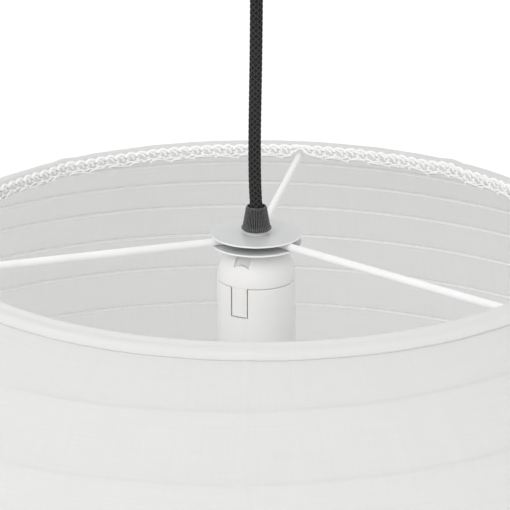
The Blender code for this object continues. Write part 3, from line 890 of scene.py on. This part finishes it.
def cap_profile():
    """The lampholder cap's section, bored for the nipple."""
    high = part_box("holder_cap")[1].z
    low = at(CAP_SEAM_H)
    first, last = high - 0.0004, low + 0.0002
    rows = [first + (last - first) * i / CAP_ROWS for i in range(CAP_ROWS + 1)]
    outside = [(cap_radius(high) - 0.0008, high)] + [(cap_radius(z), z) for z in rows]
    outside.append((CAP_RADIUS - 0.00025, low))
    return outside + [(r, at(h)) for r, h in CAP_INSIDE] + [(HUB_BORE, high)]


def make_holder_cap():
    """Cap and springy tongue in one moulding."""
    columns = 360
    profile = cap_profile()
    points = lathe_points(profile, columns)
    mesh = grid_mesh("holder_cap_shell", points, True, True)
    work = bmesh.new()
    work.from_mesh(mesh)
    low = at(CAP_SEAM_H)
    first = round(math.degrees(LATCH_ANGLE)) - LATCH_STEPS // 2
    wanted = []
    for face in work.faces:
        centre = face.calc_center_median()
        degrees = math.degrees(math.atan2(centre.y, centre.x)) % 360
        flat = all(abs(v.co.z - low) < 1e-7 for v in face.verts)
        if flat and first < degrees < first + LATCH_STEPS:
            wanted.append(face)
    made = bmesh.ops.extrude_face_region(work, geom=wanted)
    moved = [g for g in made["geom"] if isinstance(g, bmesh.types.BMVert)]
    bmesh.ops.delete(work, geom=wanted, context="FACES_ONLY")
    drop = at(LATCH_FOOT_H) - low
    bmesh.ops.translate(work, verts=moved, vec=(0, 0, drop))
    tall = [e for e in work.edges if abs(abs(e.verts[0].co.z - e.verts[1].co.z) + drop) < 1e-6]
    bmesh.ops.subdivide_edges(work, edges=tall, cuts=8, use_grid_fill=True)
    bmesh.ops.recalc_face_normals(work, faces=work.faces)
    work.to_mesh(mesh)
    work.free()
    cap = link("holder_cap_shell", mesh, HOLDER)
    cut_away(cap, notch_cutter(), 30)
    cut_away(cap, key_line_cutter(), 30)
    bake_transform(cap)
    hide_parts("holder_cap", "cap_latch")


def notch_cutter():
    """The screwdriver recess above the tongue: its floor follows the dome, its foot arches."""
    half, foot, top = NOTCH_HALF, at(NOTCH_FOOT_H), at(0.001)
    outline = [(half, top), (-half, top), (-half, foot)]
    for i in range(1, 12):
        share = i / 12
        outline.append((2 * half * share - half, foot + NOTCH_ARCH * math.sin(math.pi * share)))
    outline.append((half, foot))
    floor = cap_radius(foot) - NOTCH_DEPTH
    lean = (cap_radius(foot) - cap_radius(at(-0.0065))) / 0.0059
    mesh = bpy.data.meshes.new("notch_cutter")
    work = bmesh.new()
    near = [work.verts.new((floor - (z - foot) * lean, y, z)) for y, z in outline]
    far = [work.verts.new((0.026, y, z)) for y, z in outline]
    count = len(outline)
    for i in range(count):
        j = (i + 1) % count
        work.faces.new((near[i], near[j], far[j], far[i]))
    work.faces.new(near[::-1])
    work.faces.new(far)
    bmesh.ops.triangulate(work, faces=work.faces)
    bmesh.ops.recalc_face_normals(work, faces=work.faces)
    work.to_mesh(mesh)
    work.free()
    cutter = bpy.data.objects.new("notch_cutter", mesh)
    bpy.context.scene.collection.objects.link(cutter)
    cutter.rotation_euler.z = LATCH_ANGLE
    return cutter


def key_line_cutter():
    """A fine arched line on the cap, from the seam up and down again."""
    share = np.linspace(-1, 1, 61)
    azimuth = KEY_ANGLE + KEY_HALF_SPAN * share
    z = at(CAP_SEAM_H) + KEY_FOOT + KEY_ARCH * np.sqrt(1 - np.abs(share) ** 3)
    radius = np.array([cap_radius(max(h, at(CAP_SEAM_H))) for h in z])
    path = np.stack([radius * np.cos(azimuth), radius * np.sin(azimuth), z], -1)
    return tube("key_line_cutter", path, KEY_LINE, 8, HOLDER)


def make_holder_body():
    low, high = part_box("holder_body")
    lip_top = low.z + BODY_LIP
    corners = [
        (HOLDER_RADIUS, high.z), (HOLDER_RADIUS, low.z), (BODY_LIP_BORE, low.z),
        (BODY_LIP_BORE, lip_top), (BODY_BORE, lip_top), (BODY_BORE, high.z),
    ]
    profile = rounded_profile(corners, ROUNDING, 3)
    body = lathe("holder_body_shell", profile, 360, HOLDER, sharp=40)
    slot_low, slot_high, reach = at(LATCH_FOOT_H) - SLOT_GAP, high.z + 0.003, 0.010
    width = 2 * HOLDER_RADIUS * math.sin(math.radians(LATCH_STEPS / 2)) + 2 * SLOT_GAP
    centre = polar(CAP_RADIUS, LATCH_ANGLE, (slot_low + slot_high) / 2)
    cutter = block("slot_cutter", (reach, width, slot_high - slot_low), centre, LATCH_ANGLE)
    cut_away(body, cutter, 40)
    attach(body, "lamp")
    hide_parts("holder_body")


def make_insert():
    low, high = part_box("holder_insert")
    floor = at(SOCKET_FLOOR_H)
    corners = [(INSERT_RADIUS, high.z), (INSERT_RADIUS, low.z), (SOCKET_BORE, low.z),
               (SOCKET_BORE, floor), (RIVET_BORE, floor), (RIVET_BORE, high.z)]
    profile = rounded_profile(corners, ROUNDING, 3)
    insert = lathe("holder_insert_body", profile, 128, CERAMIC, sharp=40)
    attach(insert, "lamp")
    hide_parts("holder_insert")


def make_screw_shell():
    """The brass shell with its rounded 27 mm thread."""
    low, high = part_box("screw_shell")
    columns, rows = 144, 72
    angle = np.arange(columns) * 2 * math.pi / columns
    share = np.linspace(0, 1, rows)[:, None]
    z = high.z + (low.z - high.z) * share + 0 * angle
    fade = np.clip(np.minimum(share, 1 - share) * 12, 0, 1)
    turn = 2 * math.pi * z / THREAD_PITCH - angle
    radius = THREAD_RADIUS + THREAD_SWING * fade * np.sin(turn)
    points = np.stack([radius * np.cos(angle), radius * np.sin(angle), z], -1)
    shell = link("screw_shell_thread", grid_mesh("screw_shell_thread", points), BRASS)
    thick = shell.modifiers.new("sheet", "SOLIDIFY")
    thick.thickness = BRASS_SHEET
    thick.offset = 0
    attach(shell, "lamp")
    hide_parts("screw_shell")


# ---------------------------------------------------------------- cable, grips, ceiling cup


def grip_outline():
    """A conical grip with a round flange at its foot, as (radius, height over its foot)."""
    mouth, base, cone_foot = GRIP_MOUTH, GRIP_FLANGE, GRIP_CONE_FOOT
    mouth_floor = GRIP_LENGTH - GRIP_MOUTH_DEPTH
    outline = [(base - 0.0006, 0.0)]
    for i in range(9):
        angle = math.pi * (i / 8 - 0.5)
        outline.append((base - 0.0007 + 0.0007 * math.cos(angle), 0.0009 + 0.0008 * math.sin(angle)))
    for i in range(17):
        share = i / 16
        radius = cone_foot + (mouth - cone_foot) * share
        outline.append((radius, 0.0020 + (GRIP_LENGTH - 0.0028) * share))
    outline += [(mouth - 0.00012, GRIP_LENGTH - 0.0004), (mouth - 0.0004, GRIP_LENGTH)]
    outline += [(mouth - 0.0009, GRIP_LENGTH - 0.0001), (mouth - 0.0011, mouth_floor)]
    return outline + [(GRIP_THROAT, mouth_floor), (GRIP_THROAT, 0.0)]


def make_grip(name, node, body, foot, side):
    """A ribbed conical grip. side is 1 with its mouth up and -1 with its mouth down."""
    profile = [(r, foot + side * z) for r, z in grip_outline()]

    def ribs(rows, angle):
        height = (rows[:, 1] - foot) * side
        foot_fade = np.clip((height - 0.0019) / 0.0003, 0, 1)
        mouth_fade = np.clip((GRIP_LENGTH - 0.0006 - height) / 0.0006, 0, 1)
        outside = rows[:, 0] > 0.0051
        valleys = (0.5 - 0.5 * np.cos(GRIP_RIBS * angle)) ** 1.6
        return -RIB_DEPTH * (foot_fade * mouth_fade * outside)[:, None] * valleys[None, :]

    grip = lathe(name, profile, GRIP_RIBS * 8, GRIP, wave=ribs, sharp=60)
    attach(grip, body)
    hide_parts(node)


def braid_height(angle, z):
    """How far the braid's strands stand out. Two sets of strands pass over and under."""
    right = CABLE_STRANDS * angle + 2 * math.pi * CABLE_STRANDS * z / CABLE_LAY
    left = CABLE_STRANDS * angle - 2 * math.pi * CABLE_STRANDS * z / CABLE_LAY
    over = np.sin((right + left) / 4) * np.sin((right - left) / 4)
    a = np.abs(np.cos(right / 2)) ** 0.7
    b = np.abs(np.cos(left / 2)) ** 0.7
    lift = 0.5 + 0.5 * np.tanh(4 * over)
    return np.maximum(a * (0.45 + 0.55 * lift), b * (1.0 - 0.55 * lift))


def cable_bow(share):
    """The slight sideways bow left in a cable that has been coiled."""
    return -CABLE_BOW * np.sin(math.pi * np.sqrt(share)) ** 2


def make_cable():
    low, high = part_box("cable")
    height = high.z - low.z
    z = np.linspace(high.z, low.z, int(height / BRAID_STEP))[:, None]
    angle = (np.arange(BRAID_COLUMNS) * 2 * math.pi / BRAID_COLUMNS)[None, :]
    lift = braid_height(angle, z)
    radius = CABLE_RADIUS + 0.0001 - BRAID_DEPTH * (1 - lift)
    bow = cable_bow((z - low.z) / height)
    points = np.stack([bow + radius * np.cos(angle), radius * np.sin(angle), z + 0 * angle], -1)
    mesh = close_up(grid_mesh("cable_braid", points), BRAID_COLUMNS)
    smooth_by(mesh, 80)
    # the strands' height is kept for the braid material, which paints shade in the grooves from it
    layer = mesh.attributes.new("strand_lift_shading", "FLOAT", "POINT")
    layer.data.foreach_set("value", lift.astype(np.float32).ravel())
    cable = link("cable_braid", mesh, BRAID)
    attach(cable, "cable")
    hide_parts("cable")


def cup_profile(depth):
    """The ceiling cup's section, open at the ceiling and bored for its cord grip."""
    middle, inner = CUP_RADIUS - CUP_EDGE, CUP_EDGE - CUP_WALL
    outside = [(CUP_RADIUS, 0.0), (CUP_RADIUS, -0.004)]
    inside = []
    for i in range(13):
        angle = math.pi / 2 * i / 12
        across, down = math.cos(angle), math.sin(angle)
        outside.append((middle + CUP_EDGE * across, CUP_EDGE * (1 - down) - depth))
        inside.append((middle + inner * down, CUP_EDGE - depth - inner * across))
    floor = [(HUB_BORE, -depth), (HUB_BORE, CUP_WALL - depth)]
    return outside + floor + inside + [(CUP_RADIUS - CUP_WALL, 0.0)]


def make_ceiling_cup():
    profile = cup_profile(-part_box("ceiling_cup")[0].z)
    cup = lathe("ceiling_cup_shell", profile, 180, BLACK, sharp=40)
    for side in (-1, 1):
        cut_away(cup, screw_drill(side), 40)
    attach(cup, "root")
    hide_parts("ceiling_cup")


def screw_drill(side):
    """A bar along X to cut a cup screw's hole with. side is -1 at the left and 1 at the right."""
    drill = bpy.data.objects.new("drill", bpy.data.meshes.new("drill"))
    work = bmesh.new()
    turned = Matrix.Rotation(math.pi / 2, 4, "Y")
    place = Matrix.Translation((side * CUP_RADIUS, 0, CUP_SCREW_Z)) @ turned
    bmesh.ops.create_cone(work, cap_ends=True, segments=32, radius1=CUP_SCREW_HOLE,
                          radius2=CUP_SCREW_HOLE, depth=0.012, matrix=place)
    work.to_mesh(drill.data)
    work.free()
    bpy.context.scene.collection.objects.link(drill)
    return drill


# ---------------------------------------------------------------- CAD nodes that stay


def finish_nodes():
    """Give every CAD node that still shows its full material."""
    finishes = {
        "threaded_nipple": ZINC, "nipple_nut": ZINC, "ceiling_bracket": ZINC,
        "cup_screw_left": ZINC, "cup_screw_right": ZINC, "terminal_block": NYLON,
        "centre_contact": BRASS, "side_contact": BRASS,
        "cable_upper_tail": BRAID, "cable_lower_tail": BRAID,
    }
    for name, finish in finishes.items():
        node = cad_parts[name]
        node.data.materials.clear()
        node.data.materials.append(finish)


# ---------------------------------------------------------------- studio


def stage_material():
    n = Nodes("pale_floor")
    grain = n.noise(n.place((1, 1, 1)), 3.0, 2.0)
    n.wire(n.ramp(grain, [(0.3, (0.71, 0.71, 0.71)), (0.7, (0.73, 0.73, 0.73))]),
           n.shader.inputs["Base Color"])
    n.set(Roughness=0.9, Emission_Color=(1, 1, 1, 1), Emission_Strength=0.34)
    return n.material


def make_floor():
    """A pale floor well below the lantern, with a wall that curves up behind it."""
    section = [(FLOOR_FRONT, FLOOR_Z), (0.0, FLOOR_Z)]
    for i in range(17):
        angle = math.pi / 2 * i / 16
        rise = FLOOR_BEND * (1 - math.cos(angle))
        section.append((FLOOR_BACK + FLOOR_BEND * math.sin(angle), FLOOR_Z + rise))
    section.append((FLOOR_BACK + FLOOR_BEND, WALL_TOP))
    sides = (-FLOOR_HALF_WIDTH, FLOOR_HALF_WIDTH)
    points = np.array([[(x, y, z) for x in sides] for y, z in section])
    floor = link("studio_floor", grid_mesh("studio_floor", points, False), stage_material())


def area_light(name, place, power):
    """A large square light that looks at the lantern's hub."""
    data = bpy.data.lights.new(name, "AREA")
    data.size = LIGHT_SIZE
    data.energy = power
    light = bpy.data.objects.new(name, data)
    bpy.context.scene.collection.objects.link(light)
    light.location = place
    direction = Vector((0, 0, HUB_Z - 0.1)) - Vector(place)
    light.rotation_euler = direction.to_track_quat("-Z", "Y").to_euler()


def make_lights():
    world = bpy.data.worlds.new("soft_white")
    world.use_nodes = True
    backdrop = world.node_tree.nodes["Background"]
    backdrop.inputs["Color"].default_value = (1, 1, 1, 1)
    backdrop.inputs["Strength"].default_value = WORLD_STRENGTH
    bpy.context.scene.world = world
    for name, (place, power) in LIGHTS.items():
        area_light(name, place, power)


def make_camera():
    data = bpy.data.cameras.new("camera")
    data.sensor_width = CAMERA_SENSOR
    data.lens = CAMERA_LENS
    data.clip_start = 0.05
    camera = bpy.data.objects.new("camera", data)
    bpy.context.scene.collection.objects.link(camera)
    hub = Vector((0, 0, HUB_Z))
    back = Vector((0, -math.cos(CAMERA_PITCH), math.sin(CAMERA_PITCH)))
    camera.location = hub + back * CAMERA_DISTANCE
    down = CAMERA_PITCH + math.atan(AIM_BELOW_HUB / CAMERA_DISTANCE)
    left = math.atan(AIM_LEFT_OF_HUB / CAMERA_DISTANCE)
    camera.rotation_euler = (math.pi / 2 - down, 0, left)
    bpy.context.scene.camera = camera
    bpy.context.scene.view_settings.view_transform = "Standard"


# ---------------------------------------------------------------- the whole picture


make_camera()
make_ceiling_cup()
make_grip("cup_grip_cone", "cup_cord_grip", "root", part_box("ceiling_cup")[0].z - 0.0003, -1)
make_cable()
make_grip("cord_grip_cone", "cord_grip", "lamp", at(GRIP_FOOT_H), 1)
for number in range(1, TURNS + 1):
    make_wire_turn(number)
    make_band(number)
make_ring("top_ring_wire", "top_ring", "shade", RING_Z)
make_ring("bottom_ring_wire", "bottom_ring", "foot", FOOT_RING_Z)
make_rim("top_rim", "top_hem", "shade", 1, RING_Z)
make_rim("bottom_rim", "bottom_hem", "foot", -1, FOOT_RING_Z)
make_edging("top_edging", "shade", 1, RING_Z, True)
make_edging("bottom_edging", "foot", -1, FOOT_RING_Z, False)
for spoke, degrees in SPOKES.items():
    make_spoke(spoke, degrees)
make_plate("upper_plate", BOSS_HEIGHT)
make_plate("lower_plate", 0.0)
make_holder_cap()
make_holder_body()
make_insert()
make_screw_shell()
finish_nodes()
make_floor()
make_lights()
